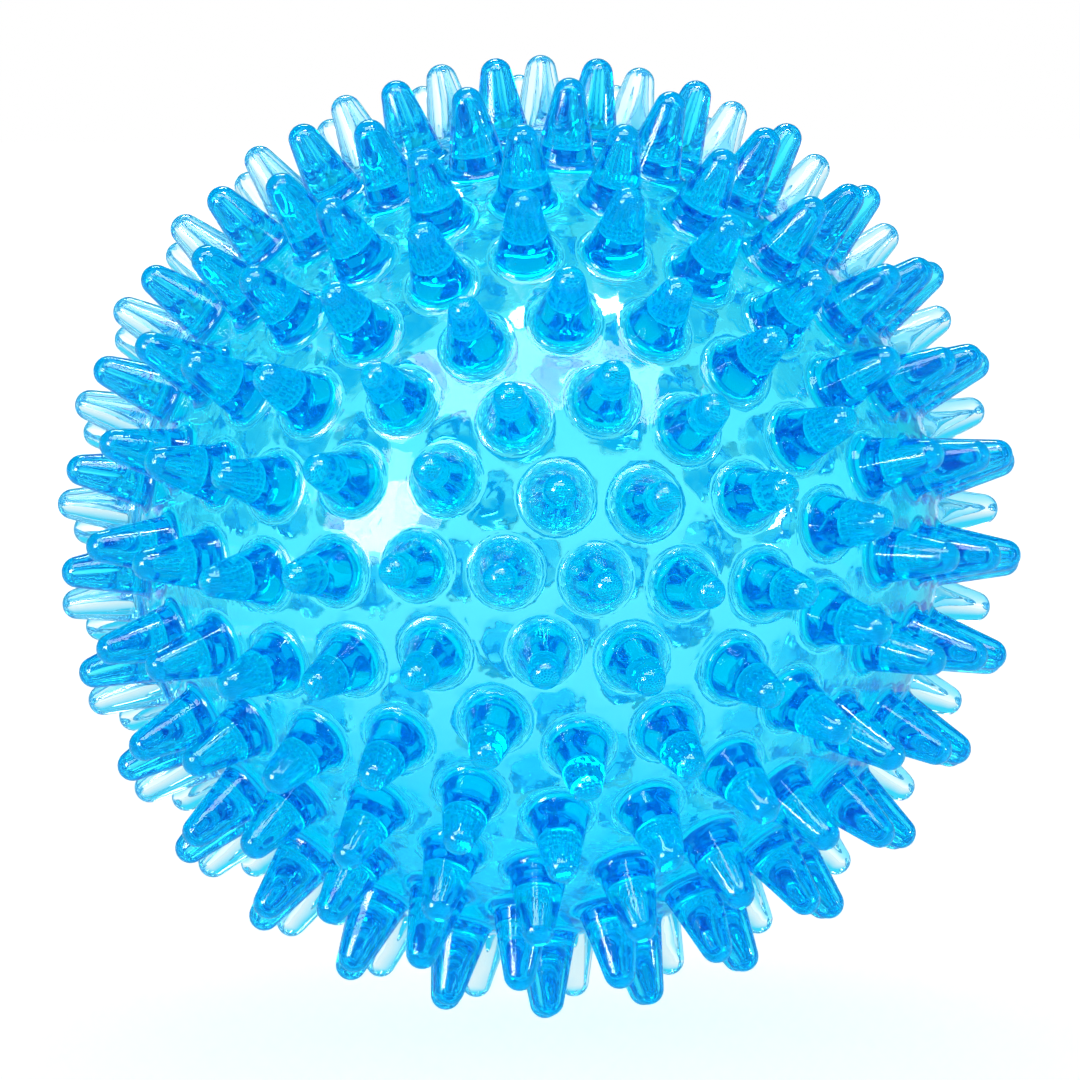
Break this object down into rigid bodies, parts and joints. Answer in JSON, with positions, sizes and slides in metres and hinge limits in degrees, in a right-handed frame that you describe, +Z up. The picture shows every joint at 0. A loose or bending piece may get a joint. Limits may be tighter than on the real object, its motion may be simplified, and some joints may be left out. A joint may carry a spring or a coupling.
{
  "type": "spiked massage ball",
  "caption": "Hollow see-through massage ball covered in round-tipped soft spikes, with a blue half shell and a clear half shell that meet at a seam.",
  "frame": {"origin": "centre of the ball", "axes": "the blue half's middle spike points along -Y and the clear half's along +Y, so the seam lies in the XZ plane; +Z is up"},
  "size_m": [0.0745, 0.075, 0.0746],
  "materials": {
    "blue_plastic": "glossy see-through soft plastic, azure blue",
    "clear_plastic": "glossy see-through soft plastic, colourless"
  },
  "bodies": {
    "root": {"blue_half_shell": "blue_plastic", "clear_half_shell": "clear_plastic"}
  },
  "joints": []
}
